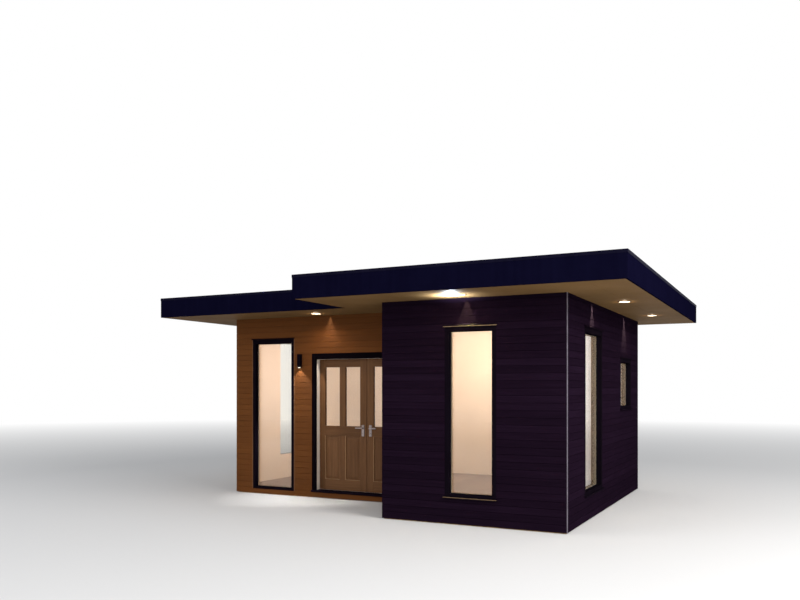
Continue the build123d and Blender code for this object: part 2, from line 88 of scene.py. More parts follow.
class Socket:
    """A shader value that adds and multiplies like a number, making Math nodes as it goes."""

    def __init__(self, nodes, link):
        self.nodes = nodes
        self.link = link

    def math(self, operation, *others):
        return self.nodes.math(operation, self, *others)

    def __add__(self, other):
        return self.math("ADD", other)

    def __radd__(self, other):
        return self.nodes.math("ADD", other, self)

    def __sub__(self, other):
        return self.math("SUBTRACT", other)

    def __rsub__(self, other):
        return self.nodes.math("SUBTRACT", other, self)

    def __mul__(self, other):
        return self.math("MULTIPLY", other)

    def __rmul__(self, other):
        return self.nodes.math("MULTIPLY", other, self)

    def __truediv__(self, other):
        return self.math("DIVIDE", other)

    def __rtruediv__(self, other):
        return self.nodes.math("DIVIDE", other, self)

    def __gt__(self, other):
        return self.math("GREATER_THAN", other)

    def __lt__(self, other):
        return self.math("LESS_THAN", other)

    def fraction(self):
        return self.math("FRACT")

    def whole(self):
        return self.math("FLOOR")

    def apart(self, other):
        return (self - other).math("ABSOLUTE")


class Nodes:
    """The nodes of a material, a lamp or the world, under construction."""

    def __init__(self, tree):
        self.tree = tree
        self.tree.nodes.clear()

    def node(self, kind, settings=None, sockets=None, output=0):
        """Makes one node: its settings first, then the values or links of its sockets."""
        made = self.tree.nodes.new(kind)
        for name, value in (settings or {}).items():
            if name == "stops":
                stops = made.color_ramp.elements
                for index, (place, colour) in enumerate(value):
                    stop = stops[index] if index < len(stops) else stops.new(place)
                    stop.position = place
                    stop.color = colour
            else:
                setattr(made, name, value)
        for name, value in (sockets or {}).items():
            if isinstance(value, Socket):
                self.tree.links.new(value.link, made.inputs[name])
            else:
                made.inputs[name].default_value = value
        return Socket(self, made.outputs[output]) if made.outputs else None

    def math(self, operation, *values):
        return self.node("ShaderNodeMath", {"operation": operation}, dict(enumerate(values)))

    def object_place(self):
        """Object coordinates in metres."""
        return self.node("ShaderNodeTexCoord", output="Object")

    def level(self, value, low, high, to_low=0.0, to_high=1.0):
        """Maps one range of a value onto another, and holds it there."""
        return self.node("ShaderNodeMapRange", {"clamp": True},
                         {0: value, 1: low, 2: high, 3: to_low, 4: to_high})


class Finish(Nodes):
    """A material under construction: its nodes, and the surface that they feed."""

    def __init__(self, name):
        self.material = bpy.data.materials.new(name)
        self.material.use_nodes = True
        super().__init__(self.material.node_tree)

    def place(self, stretch=(1, 1, 1), shift=None):
        """Object coordinates in metres, stretched along each axis, and shifted part by part."""
        at = self.node("ShaderNodeVectorMath", {"operation": "MULTIPLY"},
                       {0: self.object_place(), 1: stretch})
        if shift is not None:
            move = self.node("ShaderNodeCombineXYZ", None,
                             {"X": shift * 37.0, "Y": shift * 91.0, "Z": shift * 53.0})
            at = self.node("ShaderNodeVectorMath", {"operation": "ADD"}, {0: at, 1: move})
        return at

    def axis(self, name):
        """One of the object coordinates, in metres."""
        return self.node("ShaderNodeSeparateXYZ", None, {0: self.object_place()}, name)

    def part(self, name):
        """A number that the mesh carries for each of its parts."""
        return self.node("ShaderNodeAttribute", {"attribute_name": name}, output="Fac")

    def noise(self, at, scale, detail=4.0, roughness=0.55, distortion=0.0):
        return self.node("ShaderNodeTexNoise", None,
                         {"Vector": at, "Scale": scale, "Detail": detail,
                          "Roughness": roughness, "Distortion": distortion})

    def ramp(self, value, *stops):
        return self.node("ShaderNodeValToRGB", {"stops": stops}, {0: value})

    def mix(self, factor, first, second, blend="MIX"):
        return self.node("ShaderNodeMix", {"data_type": "RGBA", "blend_type": blend},
                         {0: factor, 6: first, 7: second}, 2)

    def bump(self, height, distance):
        return self.node("ShaderNodeBump", None,
                         {"Height": height, "Distance": distance, "Strength": 1.0})

    def surface(self, **sockets):
        """The Principled surface, with sockets named in lower case and underscores."""
        named = {}
        for name, value in sockets.items():
            words = name.replace("_", " ").title()
            named[words.replace("Ior", "IOR")] = value
        shader = self.node("ShaderNodeBsdfPrincipled", None, named)
        self.node("ShaderNodeOutputMaterial", None, {0: shader})
        return self.material


def paint(red, green, blue):
    """A colour given as 0 to 255 screen values, as the linear colour that a socket takes."""
    linear = []
    for value in (red, green, blue):
        share = value / 255
        linear.append(share / 12.92 if share <= 0.04045 else ((share + 0.055) / 1.055) ** 2.4)
    return (*linear, 1.0)


def grey(value):
    return paint(value, value, value)


# Finishes of the house

def board_finish(name, deep, middle, pale, roughness, gloss, relief):
    """Sawn boards that run level round the walls, each with its own tone and grain."""
    finish = Finish(name)
    tone = finish.part("tone")
    along = finish.place((1.6, 1.6, 46.0), tone)
    fibres = finish.place((7.0, 7.0, 420.0), tone)
    grain = finish.noise(along, 1.0, 5.0, 0.6, 0.4)
    fibre = finish.noise(fibres, 1.0, 3.0, 0.6)
    weather = finish.noise(finish.place((0.9, 0.9, 0.55)), 1.0, 4.0, 0.55)
    shade = grain * 0.56 + fibre * 0.24 + tone * 0.20
    colour = finish.ramp(shade, (0.22, deep), (0.50, middle), (0.78, pale))
    patches = finish.level(weather, 0.35, 0.75, 0.92, 1.04)
    tint = finish.node("ShaderNodeCombineColor", None, {0: patches, 1: patches, 2: patches})
    colour = finish.mix(1.0, colour, tint, "MULTIPLY")
    height = grain * 0.4 + fibre * 0.6
    return finish.surface(
        base_color=colour,
        roughness=finish.level(fibre + tone * 0.3, 0.2, 1.0, roughness - 0.06, roughness + 0.1),
        specular_ior_level=gloss,
        normal=finish.bump(height, relief))


def oak_finish():
    """Dark oiled oak. The grain follows each stile, rail or panel."""
    finish = Finish("oiled_oak")
    tone = finish.part("tone")
    level = finish.part("level_grain")
    upright = finish.place((34.0, 34.0, 1.3), tone)
    lying = finish.place((1.3, 34.0, 34.0), tone)
    at = finish.node("ShaderNodeMix", {"data_type": "VECTOR"}, {0: level, 4: upright, 5: lying}, 1)
    fine = finish.node("ShaderNodeVectorMath", {"operation": "SCALE"}, {0: at, "Scale": 7.0})
    figure = finish.noise(at, 1.0, 6.0, 0.62, 0.9)
    pores = finish.noise(fine, 1.0, 3.0, 0.7)
    shade = figure * 0.62 + pores * 0.2 + tone * 0.18
    colour = finish.ramp(shade, (0.24, paint(74, 48, 28)), (0.45, paint(91, 61, 37)),
                         (0.60, paint(102, 70, 44)), (0.80, paint(115, 81, 53)))
    open_pores = finish.level(pores, 0.56, 0.72)
    colour = finish.mix(open_pores * 0.3, colour, paint(44, 29, 18))
    return finish.surface(
        base_color=colour,
        roughness=finish.level(pores, 0.3, 0.8, 0.42, 0.62),
        specular_ior_level=0.14,
        normal=finish.bump(figure * 0.5 + pores * 0.5, 0.0006))


def painted_board_finish(name, colour, dull, roughness, gloss):
    """Brush painted board with faint streaks and a little grime."""
    finish = Finish(name)
    streak = finish.noise(finish.place((60.0, 60.0, 4.0)), 1.0, 3.0, 0.6)
    patch = finish.noise(finish.place(), 1.7, 4.0, 0.6)
    shade = finish.level(streak * 0.35 + patch * 0.65, 0.32, 0.68)
    return finish.surface(
        base_color=finish.mix(shade, dull, colour),
        roughness=finish.level(patch, 0.3, 0.7, roughness + 0.05, roughness - 0.05),
        specular_ior_level=gloss,
        normal=finish.bump(streak, 0.0002))


def lining_finish():
    """Rolled cream paint on the room's boards."""
    finish = Finish("cream_wall_paint")
    roller = finish.noise(finish.place(), 420.0, 2.0, 0.6)
    patch = finish.noise(finish.place(), 1.2, 3.0, 0.5)
    return finish.surface(
        base_color=finish.mix(finish.level(patch, 0.3, 0.7), paint(234, 226, 212),
                              paint(241, 234, 222)),
        roughness=0.75,
        specular_ior_level=0.25,
        normal=finish.bump(roller, 0.00006))


def soffit_finish():
    """Beige panels under the roof, with a fine joint every 1.2 metres."""
    finish = Finish("beige_soffit_paint")
    across = ((finish.axis("X") + 0.36) / 1.2).fraction()
    joint = across.apart(0.5) > 0.49875
    brush = finish.noise(finish.place((3.0, 90.0, 90.0)), 1.0, 3.0, 0.6)
    patch = finish.noise(finish.place(), 1.1, 4.0, 0.6)
    colour = finish.mix(finish.level(patch, 0.32, 0.68), paint(112, 86, 54),
                        paint(123, 95, 61))
    colour = finish.mix(joint * 0.45, colour, paint(76, 62, 46))
    return finish.surface(
        base_color=colour,
        roughness=finish.level(patch, 0.3, 0.7, 0.66, 0.58),
        specular_ior_level=0.03,
        normal=finish.bump(brush * 0.15 - joint, 0.0012))


def powder_coat_finish(name, colour, dusty, roughness, gloss):
    """Fine-textured powder coat on metal, dulled a little in patches."""
    finish = Finish(name)
    fine = finish.noise(finish.place(), 900.0, 2.0, 0.5)
    cloud = finish.noise(finish.place(), 3.0, 4.0, 0.6)
    run = finish.noise(finish.place((22.0, 22.0, 0.8)), 1.0, 3.0, 0.6)
    dust = finish.level(run * 0.5 + cloud * 0.5, 0.42, 0.72)
    return finish.surface(
        base_color=finish.mix(dust, colour, dusty),
        roughness=finish.level(dust + fine * 0.2, 0.0, 1.2, roughness, roughness + 0.16),
        specular_ior_level=gloss,
        normal=finish.bump(fine, 0.00012))


def metal_finish(name, colour, dark, roughness, stretch):
    """Bare metal with a brushed grain along the given stretch."""
    finish = Finish(name)
    brushed = finish.noise(finish.place(stretch), 1.0, 3.0, 0.6)
    cloud = finish.noise(finish.place(), 14.0, 3.0, 0.5)
    return finish.surface(
        base_color=finish.mix(finish.level(cloud, 0.35, 0.7), colour, dark),
        metallic=1.0,
        roughness=finish.level(brushed, 0.3, 0.7, roughness - 0.08, roughness + 0.10),
        normal=finish.bump(brushed, 0.00006))


def membrane_finish():
    """A mineral-grey roof sheet with fine grit, dust and the rings of dried puddles."""
    finish = Finish("roof_sheet")
    grit = finish.noise(finish.place(), 700.0, 2.0, 0.7)
    cloud = finish.noise(finish.place(), 0.9, 5.0, 0.6, 0.5)
    tone = finish.part("tone")
    puddle = finish.noise(finish.place(), 0.75, 2.0, 0.4, 0.3)
    ring = finish.level(puddle.apart(0.60), 0.0, 0.012, 1.0, 0.0)
    shade = cloud * 0.42 + grit * 0.22 + tone * 0.36
    colour = finish.ramp(shade, (0.30, grey(46)), (0.52, paint(62, 62, 64)),
                         (0.74, paint(84, 82, 79)))
    colour = finish.mix(ring * 0.12, colour, paint(112, 106, 96))
    silt = finish.level(puddle, 0.60, 0.70)
    colour = finish.mix(silt * 0.2, colour, paint(98, 92, 82))
    return finish.surface(
        base_color=colour,
        roughness=finish.level(grit + ring * 0.3, 0.3, 1.0, 0.72, 0.92),
        specular_ior_level=0.3,
        normal=finish.bump(grit, 0.0006))


def floor_finish():
    """Pale oak planks 190 mm wide, laid from front to back with staggered ends."""
    finish = Finish("pale_oak_floor")
    plank_width = 0.19
    plank_length = 1.8
    across = finish.axis("X") / plank_width
    column = across.whole()
    luck = finish.node("ShaderNodeTexWhiteNoise", {"noise_dimensions": "1D"}, {"W": column})
    run = finish.axis("Y") / plank_length + luck * 5.0
    board = finish.node("ShaderNodeTexWhiteNoise", {"noise_dimensions": "1D"},
                        {"W": column * 17.0 + run.whole()})
    side_joint = across.fraction().apart(0.5) > 0.494
    end_joint = run.fraction().apart(0.5) > 0.4994
    joint = side_joint.math("MAXIMUM", end_joint)
    grain = finish.noise(finish.place((52.0, 1.6, 52.0), board), 1.0, 5.0, 0.62, 0.8)
    shade = grain * 0.7 + board * 0.3
    colour = finish.ramp(shade, (0.25, paint(126, 114, 108)), (0.5, paint(140, 127, 120)),
                         (0.75, paint(152, 138, 131)))
    colour = finish.mix(joint * 0.8, colour, paint(70, 50, 34))
    return finish.surface(
        base_color=colour,
        roughness=finish.level(grain, 0.3, 0.7, 0.38, 0.5),
        specular_ior_level=0.4,
        normal=finish.bump(grain * 0.2 - joint, 0.0008))


def core_finish():
    """Pressed strand board, as the cores of the walls and roof are."""
    finish = Finish("strand_board")
    cell = finish.node("ShaderNodeTexVoronoi", {"feature": "F1"},
                       {"Vector": finish.place((30.0, 30.0, 90.0)), "Scale": 1.0}, 1)
    strand = finish.node("ShaderNodeSeparateColor", None, {0: cell}, 0)
    shade = strand * 0.7 + finish.noise(finish.place(), 60.0) * 0.3
    colour = finish.ramp(shade, (0.2, paint(120, 92, 60)), (0.8, paint(182, 150, 106)))
    return finish.surface(base_color=colour, roughness=0.8, specular_ior_level=0.2,
                          normal=finish.bump(shade, 0.0008))


def glass_finish():
    """Clear float glass under a faint film of dust."""
    finish = Finish("float_glass")
    film = finish.noise(finish.place(), 2.4, 3.0, 0.6)
    return finish.surface(
        base_color=finish.mix(film, paint(254, 254, 252), paint(252, 252, 250)),
        roughness=0.0,
        ior=1.46,
        specular_ior_level=0.08,
        transmission_weight=1.0)


def rubber_finish():
    """Black rubber with a little grime."""
    finish = Finish("black_gasket")
    grime = finish.noise(finish.place(), 160.0, 3.0, 0.6)
    return finish.surface(base_color=finish.mix(grime, grey(18), grey(34)),
                          roughness=0.7, specular_ior_level=0.3)


def lens_finish():
    """An opal lens, lit from behind, with a faint haze in its glow."""
    finish = Finish("lit_opal_lens")
    haze = finish.noise(finish.place(), 90.0, 2.0, 0.5)
    glow = finish.mix(haze, paint(255, 238, 208), paint(255, 246, 224))
    return finish.surface(base_color=glow, roughness=0.4, emission_color=glow,
                          emission_strength=2.4)


oak = oak_finish()
cream_paint = lining_finish()
soffit_paint = soffit_finish()
roof_sheet = membrane_finish()
floor_boards = floor_finish()
strand_board = core_finish()
float_glass = glass_finish()
gasket_rubber = rubber_finish()
opal_lens = lens_finish()

# Boards: deep, middle and pale tone, roughness, gloss and relief
dark_paint = board_finish("dark_board_stain", paint(16, 9, 18), paint(23, 13, 25),
                          paint(30, 19, 33), 0.66, 0.0, 0.0006)
brown_stain = board_finish("brown_board_stain", paint(87, 51, 24), paint(96, 57, 27),
                           paint(105, 64, 32), 0.66, 0.05, 0.0005)

# Painted wood: colour, dull tone, roughness and gloss
surround_coat = painted_board_finish("door_surround_paint", paint(12, 8, 12), paint(9, 6, 9),
                                     0.55, 0.0)
jamb_paint = painted_board_finish("cream_jamb_paint", paint(254, 246, 234),
                                  paint(247, 236, 221), 0.45, 0.3)
# A light oak paint for strips that paint highlights on the lower panels' mouldings
painted_highlight = painted_board_finish("painted_highlight_varnish", paint(164, 126, 88),
                                 paint(142, 106, 72), 0.4, 0.3)
bead_paint = painted_board_finish("cream_bead_paint", paint(240, 224, 200),
                                  paint(226, 208, 183), 0.5, 0.15)

# Coated metal: colour, dusty tone, roughness and gloss
fascia_paint = powder_coat_finish("navy_fascia_coat", paint(8, 7, 25), paint(11, 10, 30),
                                  0.6, 0.0)
trim_coat = powder_coat_finish("roof_trim_coat", paint(11, 10, 26), paint(17, 15, 33),
                               0.55, 0.02)
frame_coat = powder_coat_finish("black_frame_coat", paint(12, 8, 14), paint(17, 12, 20),
                                0.55, 0.0)
flashing_coat = powder_coat_finish("flashing_coat", paint(15, 10, 17), paint(21, 15, 24),
                                   0.45, 0.0)
# Bright coat for strips that paint a highlight beside the entrance window frame
frame_edge_highlight = powder_coat_finish("frame_edge_highlight_coat", paint(122, 88, 62), paint(140, 104, 76),
                                 0.5, 0.2)
lamp_rim_coat = powder_coat_finish("lamp_rim_coat", paint(74, 56, 40), paint(88, 69, 51),
                                   0.5, 0.1)

# Bare metal: colour, dark tone, roughness and the stretch of its grain
aluminium = metal_finish("mill_aluminium", paint(138, 131, 143), paint(116, 110, 120), 0.5,
                         (300.0, 300.0, 6.0))
satin_steel = metal_finish("satin_steel", paint(168, 155, 152), paint(140, 129, 127), 0.34,
                           (8.0, 300.0, 300.0))
# Bright bronze for sheets that paint a highlight on the front window's flashings
sill_highlight_metal = metal_finish("sill_highlight_metal", paint(172, 144, 110), paint(140, 114, 86),
                               0.26, (6.0, 300.0, 300.0))

# What each carried-over CAD node is finished in
node_finishes = {
    floor_boards: ["floor"],
    strand_board: ["front_wall", "right_wall", "return_wall", "back_wall", "left_wall",
                   "entrance_wall", "entrance_wall_end", "wall_over_door", "roof_core"],
    aluminium: ["corner_angle"],
    cream_paint: ["room_lining"],
    soffit_paint: ["soffit"],
    fascia_paint: ["fascia"],
    trim_coat: ["roof_edge_trim"],
    frame_coat: ["entrance_window_frame", "front_window_frame", "right_windows_frame",
                 "left_window_frame", "back_window_frame", "wall_light"],
    flashing_coat: ["window_flashings", "threshold"],
    surround_coat: ["door_surround"],
    jamb_paint: ["door_jamb_left", "door_jamb_right", "door_head"],
    satin_steel: ["left_door_hinges", "left_jamb_hinges", "right_door_hinges",
                  "right_jamb_hinges", "left_handle_plates", "right_handle_plates",
                  "left_lever", "right_lever"],
    lamp_rim_coat: ["downlight_rims"],
    opal_lens: ["downlight_lenses"],
}
for material, names in node_finishes.items():
    for name in names:
        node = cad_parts[name]
        node.data.materials.clear()
        node.data.materials.append(material)


# Making parts

def new_part():
    """An empty mesh that carries a tone and a grain direction for each of its parts."""
    part = bmesh.new()
    part.verts.layers.float.new("tone")
    part.verts.layers.float.new("level_grain")
    return part


def mark(part, tone, level_grain=0.0):
    """Writes a part's tone and grain direction on all its corners."""
    tones = part.verts.layers.float["tone"]
    grains = part.verts.layers.float["level_grain"]
    for vert in part.verts:
        vert[tones] = tone
        vert[grains] = level_grain


def ease(part, edges, width, segments=1):
    """Takes the sharpness off some edges."""
    bmesh.ops.bevel(part, geom=edges, offset=width, offset_type="OFFSET", segments=segments,
                    profile=0.5, affect="EDGES", clamp_overlap=True, material=-1)


def add_box(part, low, high):
    """Adds a sharp box between two corners to a part."""
    low = Vector(low)
    high = Vector(high)
    place = Matrix.Translation((low + high) / 2) @ Matrix.Diagonal((*(high - low), 1))
    bmesh.ops.create_cube(part, size=1, matrix=place)


def raise_face(part, verts, reach):
    """Closes the corners to a face and draws it out to a solid. Gives the corners of its end.

    An extrusion makes its sides in no fixed order, so edges and faces are sorted by place.
    """
    base = part.faces.new(verts)
    grown = bmesh.ops.extrude_face_region(part, geom=[base])
    end = [item for item in grown["geom"] if isinstance(item, bmesh.types.BMVert)]
    bmesh.ops.translate(part, verts=end, vec=reach)
    part.edges.sort(key=lambda line: (line.verts[0].co + line.verts[1].co).dot(sort_line))
    part.faces.sort(key=lambda face: face.calc_center_median().dot(sort_line))
    bmesh.ops.recalc_face_normals(part, faces=part.faces)
    return end


def block(low, high, edge=0.0, segments=1, tone=0.5, level_grain=0.0):
    """A closed block between two corners, with eased edges."""
    part = new_part()
    add_box(part, low, high)
    if edge:
        ease(part, part.edges[:], edge, segments)
    mark(part, tone, level_grain)
    return part


def join(parts):
    """One mesh out of many parts, each of which keeps its tone."""
    whole = new_part()
    spare = bpy.data.meshes.new("spare")
    for part in parts:
        part.to_mesh(spare)
        part.free()
        whole.from_mesh(spare)
    bpy.data.meshes.remove(spare)
    return whole


def finish_piece(name, parts, body, slot, material, replaces=()):
    """Turns finished parts into one piece of the house."""
    whole = join(parts)
    mesh = bpy.data.meshes.new(name)
    whole.to_mesh(mesh)
    whole.free()
    mesh.materials.append(material)
    piece = bpy.data.objects.new(name, mesh)
    bpy.context.scene.collection.objects.link(piece)
    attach(piece, body)
    if replaces:
        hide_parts(*replaces)


class Wall:
    """A clad wall: where it starts, runs and looks, where its boards end, and its openings.

    Places on it are given along the wall, up from the ground, and in from its face.
    """

    def __init__(self, start, run, outward, reach, openings):
        self.start = Vector((*start, 0))
        self.run = Vector((*run, 0))
        self.outward = Vector((*outward, 0))
        self.reach = reach
        self.openings = openings

    def at(self, along, level, depth):
        """The point at a place on the wall."""
        return self.start + self.run * along + UP * level - self.outward * depth

    def block(self, along, level, depth, edge):
        """A block on the wall, between two places along it, two levels and two depths."""
        one = self.at(along[0], level[0], depth[0])
        other = self.at(along[1], level[1], depth[1])
        low = [min(pair) for pair in zip(one, other)]
        high = [max(pair) for pair in zip(one, other)]
        return block(low, high, edge)

    def plank(self, outline, depth, edge, tone):
        """A board with the given outline, between two depths, eased round its face."""
        part = new_part()
        verts = [part.verts.new(self.at(along, level, depth[1])) for along, level in outline]
        face = set(raise_face(part, verts, self.outward * (depth[1] - depth[0])))
        if edge:
            ease(part, [line for line in part.edges if face.issuperset(line.verts)], edge)
        mark(part, tone)
        return part


class Opening:
    """A window or door opening in a wall, from side to side and from foot to head."""

    def __init__(self, left, right, foot, head):
        self.left = left
        self.right = right
        self.foot = foot
        self.head = head


board_module = 0.087
board_gap = 0.0035
board_lip_setback = 0.008
board_edge = 0.0015
least_board = 0.012
least_notch = 0.002


def board_outlines(start, end, low, high, openings):
    """What is left of one level board once the openings are cut out of it."""
    spans = [(start, end)]
    notches = []
    for gap in openings:
        if gap.foot >= high - least_notch or gap.head <= low + least_notch:
            continue
        if gap.foot > low + least_notch or gap.head < high - least_notch:
            notches.append(gap)
            continue
        cut = []
        for left, right in spans:
            if left < gap.left < right:
                cut += [(left, gap.left), (gap.right, right)]
            else:
                cut.append((left, right))
        spans = cut
    outlines = []
    for left, right in spans:
        foot_side = [(left, low)]
        head_side = [(left, high)]
        for gap in sorted(notches, key=lambda gap: gap.left):
            if not left < gap.left < right:
                continue
            if gap.foot <= low:
                foot_side += [(gap.left, low), (gap.left, gap.head),
                              (gap.right, gap.head), (gap.right, low)]
            else:
                head_side += [(gap.left, high), (gap.left, gap.foot),
                              (gap.right, gap.foot), (gap.right, high)]
        foot_side.append((right, low))
        head_side.append((right, high))
        outlines.append(foot_side + head_side[::-1])
    return outlines


def clad(wall):
    """Level boards on a wall, each with a recessed lip that closes the gap below it."""
    parts = []
    level = ground_gap
    while level < soffit_level - least_board:
        top = min(level + board_module, soffit_level)
        tone = chance.random()
        lip = level + board_gap
        for outline in board_outlines(*wall.reach, lip, top, wall.openings):
            parts.append(wall.plank(outline, (0, cladding), board_edge, tone))
        for outline in board_outlines(*wall.reach, level, lip, wall.openings):
            parts.append(wall.plank(outline, (board_lip_setback, cladding), 0, tone))
        level += board_module
    return parts


# Openings, each measured along its wall from the end where the wall starts
front_window = Opening(0.871, 1.533, 0.335, 2.420)
side_window = Opening(0.8075, 1.7925, 0.335, 2.420)
small_window = Opening(3.000, 3.836, 1.353, 2.111)
back_window = Opening(0.777, 1.613, 1.353, 2.111)
left_window = Opening(0.9775, 2.2575, 0.481, 2.500)
entrance_window = Opening(0.324, 1.108, 0.078, 2.420)
doorway = Opening(frame_left - x_left, frame_right - x_left, threshold_bottom, door_top)

front_length = x_right - x_step
wing_length = x_step - x_left
side_length = y_back - y_front
left_length = y_back - y_entrance
return_length = y_entrance - y_front

# Walls: where each starts, the way it runs, the way it looks and where its boards start and end
front_wall = Wall((x_step, y_front), (1, 0), (0, -1), (0, front_length), [front_window])
right_wall = Wall((x_right, y_front), (0, 1), (1, 0), (cladding, side_length - cladding),
                  [side_window, small_window])
return_wall = Wall((x_step, y_entrance), (0, -1), (-1, 0), (0, return_length - cladding), [])
dark_back_wall = Wall((x_right, y_back), (-1, 0), (0, 1), (0, front_length), [back_window])
brown_back_wall = Wall((x_step, y_back), (-1, 0), (0, 1), (0, wing_length), [])
left_wall = Wall((x_left, y_back), (0, -1), (-1, 0), (cladding, left_length - cladding),
                 [left_window])
entrance_wall = Wall((x_left, y_entrance), (1, 0), (0, -1), (0, wing_length),
                     [entrance_window, doorway])

claddings = [
    ("dark", dark_paint, [front_wall, right_wall, return_wall, dark_back_wall]),
    ("brown", brown_stain, [entrance_wall, left_wall, brown_back_wall]),
]
for tone, stain, walls in claddings:
    boards = []
    for wall in walls:
        boards += clad(wall)
    finish_piece(tone + "_boards", boards, "house", tone + "_boards", stain,
                 [tone + "_cladding"])


# Windows: sealed units of two panes with spacers, and their gaskets and beads

frame_side_face = 0.054
frame_foot_face = 0.040
frame_head_face = 0.067
glass_rebate = 0.014
glass_setback = 0.070
pane_thickness = 0.004
unit_thickness = 0.024
glass_back = glass_setback + unit_thickness
pane_edge = 0.0004
spacer_edge = 0.0006
spacer_reach = 0.001
gasket_edge = 0.001
gasket_lap = 0.001
gasket_reach = 0.003
gasket_depth = 0.004
bead_depth = 0.009


def daylight_of(opening):
    """The clear space inside the frame of an opening."""
    return Opening(opening.left + frame_side_face, opening.right - frame_side_face,
                   opening.foot + frame_foot_face, opening.head - frame_head_face)


def pane_ring(wall, daylight, outer, inner, depth, edge):
    """Four bars round the daylight, which reach so far out of it and so far into it."""
    left, right = daylight.left, daylight.right
    foot, head = daylight.foot, daylight.head
    upright = (foot - outer, head + outer)
    level = (left + inner, right - inner)
    return [
        wall.block((left - outer, left + inner), upright, depth, edge),
        wall.block((right - inner, right + outer), upright, depth, edge),
        wall.block(level, (foot - outer, foot + inner), depth, edge),
        wall.block(level, (head - inner, head + outer), depth, edge),
    ]


def sealed_unit(wall, daylight):
    """Two panes of glass, with the cavity between them."""
    along = (daylight.left - glass_rebate, daylight.right + glass_rebate)
    level = (daylight.foot - glass_rebate, daylight.head + glass_rebate)
    return [
        wall.block(along, level, (glass_setback, glass_setback + pane_thickness), pane_edge),
        wall.block(along, level, (glass_back - pane_thickness, glass_back), pane_edge),
    ]


window_sets = {
    "entrance_window": [(entrance_wall, entrance_window)],
    "front_window": [(front_wall, front_window)],
    "right_windows": [(right_wall, side_window), (right_wall, small_window)],
    "left_window": [(left_wall, left_window)],
    "back_window": [(dark_back_wall, back_window)],
}
for set_name, windows in window_sets.items():
    panes = []
    spacers = []
    gaskets = []
    beads = []
    for wall, opening in windows:
        daylight = daylight_of(opening)
        panes += sealed_unit(wall, daylight)
        spacers += pane_ring(wall, daylight, glass_rebate, spacer_reach,
                             (glass_setback + pane_thickness, glass_back - pane_thickness),
                             spacer_edge)
        gaskets += pane_ring(wall, daylight, gasket_lap, gasket_reach,
                             (glass_setback - gasket_depth, glass_setback), gasket_edge)
        beads += pane_ring(wall, daylight, gasket_lap, gasket_reach,
                           (glass_back, glass_back + bead_depth), gasket_edge)
    finish_piece(set_name + "_panes", panes, "house", "window_glass", float_glass,
                 [set_name + "_glass"])
    finish_piece(set_name + "_spacers", spacers, "house", "cream_board", bead_paint)
    finish_piece(set_name + "_gaskets", gaskets, "house", "frame_metal", gasket_rubber)
    finish_piece(set_name + "_beads", beads, "house", "cream_board", bead_paint)


# Door leaves: stiles, rails, muntins, mouldings and raised panels

joinery_edge = 0.0012
moulding_edge = 0.003
moulding_setback = 0.002
moulding_depth = 0.012
panel_moulding = 0.011
pane_moulding = 0.005
panel_tongue = 0.006
panel_margin = 0.024
panel_bevel = 0.030
panel_thin = 0.008
panel_full = 0.016


def door_part(x, z, y=(leaf_front, leaf_back), edge=joinery_edge, level_grain=0.0):
    """One wooden part of the left leaf, from side to side, foot to head and front to back."""
    return block((x[0], y[0], z[0]), (x[1], y[1], z[1]), edge, 2, chance.random(), level_grain)


def raised_panel(x, z):
    """A panel that is thin at its edge and full in its field, on both faces."""
    part = new_part()
    add_box(part, (x[0] - panel_tongue, leaf_middle - panel_thin, z[0] - panel_tongue),
            (x[1] + panel_tongue, leaf_middle + panel_thin, z[1] + panel_tongue))
    faces = [face for face in part.faces if abs(face.normal.y) > 0.9]
    bmesh.ops.inset_individual(part, faces=faces, thickness=panel_margin, use_even_offset=True)
    for face in faces:
        bmesh.ops.inset_individual(part, faces=[face], thickness=panel_bevel,
                                   use_even_offset=True)
        direction = Vector((0, math.copysign(1, face.normal.y), 0))
        bmesh.ops.translate(part, verts=face.verts, vec=direction * (panel_full - panel_thin))
    bmesh.ops.recalc_face_normals(part, faces=part.faces)
    mark(part, chance.random())
    return part


def moulding(x, z, reach):
    """Beads round an opening of the leaf, on both of its faces."""
    parts = []
    run = (x[0] + reach, x[1] - reach)
    for face, inward in ((leaf_front, 1), (leaf_back, -1)):
        near = face + inward * moulding_setback
        far = face + inward * moulding_depth
        y = (min(near, far), max(near, far))
        parts += [
            door_part((x[0], run[0]), z, y, moulding_edge),
            door_part((run[1], x[1]), z, y, moulding_edge),
            door_part(run, (z[0], z[0] + reach), y, moulding_edge, 1.0),
            door_part(run, (z[1] - reach, z[1]), y, moulding_edge, 1.0),
        ]
    return parts


pane_columns = [
    (leaf_hinge_edge + hinge_stile, leaf_hinge_edge + hinge_stile + pane_width),
    (leaf_meeting_edge - meeting_stile - pane_width, leaf_meeting_edge - meeting_stile),
]
pane_top = leaf_top - top_rail
panel_bottom = leaf_bottom + bottom_rail
panel_height = (panel_bottom, lock_rail_bottom)
pane_height = (lock_rail_top, pane_top)
rail_run = (leaf_hinge_edge + hinge_stile, leaf_meeting_edge - meeting_stile)
# Strips on the lower panels that are painted highlights, where the mouldings catch the light
highlight_strip_width = 0.0075
highlight_strip_height = 0.004
highlight_strip_inset = 0.0085
highlight_strip_front = leaf_front + 0.0004
highlight_strip_back = leaf_front + 0.005
pane_lap = 0.002
pane_near = 0.003
pane_far = 0.007


def leaf_parts():
    """All the wooden parts of the left leaf."""
    muntin_run = (pane_columns[0][1], pane_columns[1][0])
    parts = [
        door_part((leaf_hinge_edge, rail_run[0]), (leaf_bottom, leaf_top)),
        door_part((rail_run[1], leaf_meeting_edge), (leaf_bottom, leaf_top)),
        door_part(rail_run, (pane_top, leaf_top), level_grain=1.0),
        door_part(rail_run, (lock_rail_bottom, lock_rail_top), level_grain=1.0),
        door_part(rail_run, (leaf_bottom, panel_bottom), level_grain=1.0),
        door_part(muntin_run, pane_height),
        door_part(muntin_run, panel_height),
    ]
    for column in pane_columns:
        parts.append(raised_panel(column, panel_height))
        parts += moulding(column, panel_height, panel_moulding)
        parts += moulding(column, pane_height, pane_moulding)
    return parts


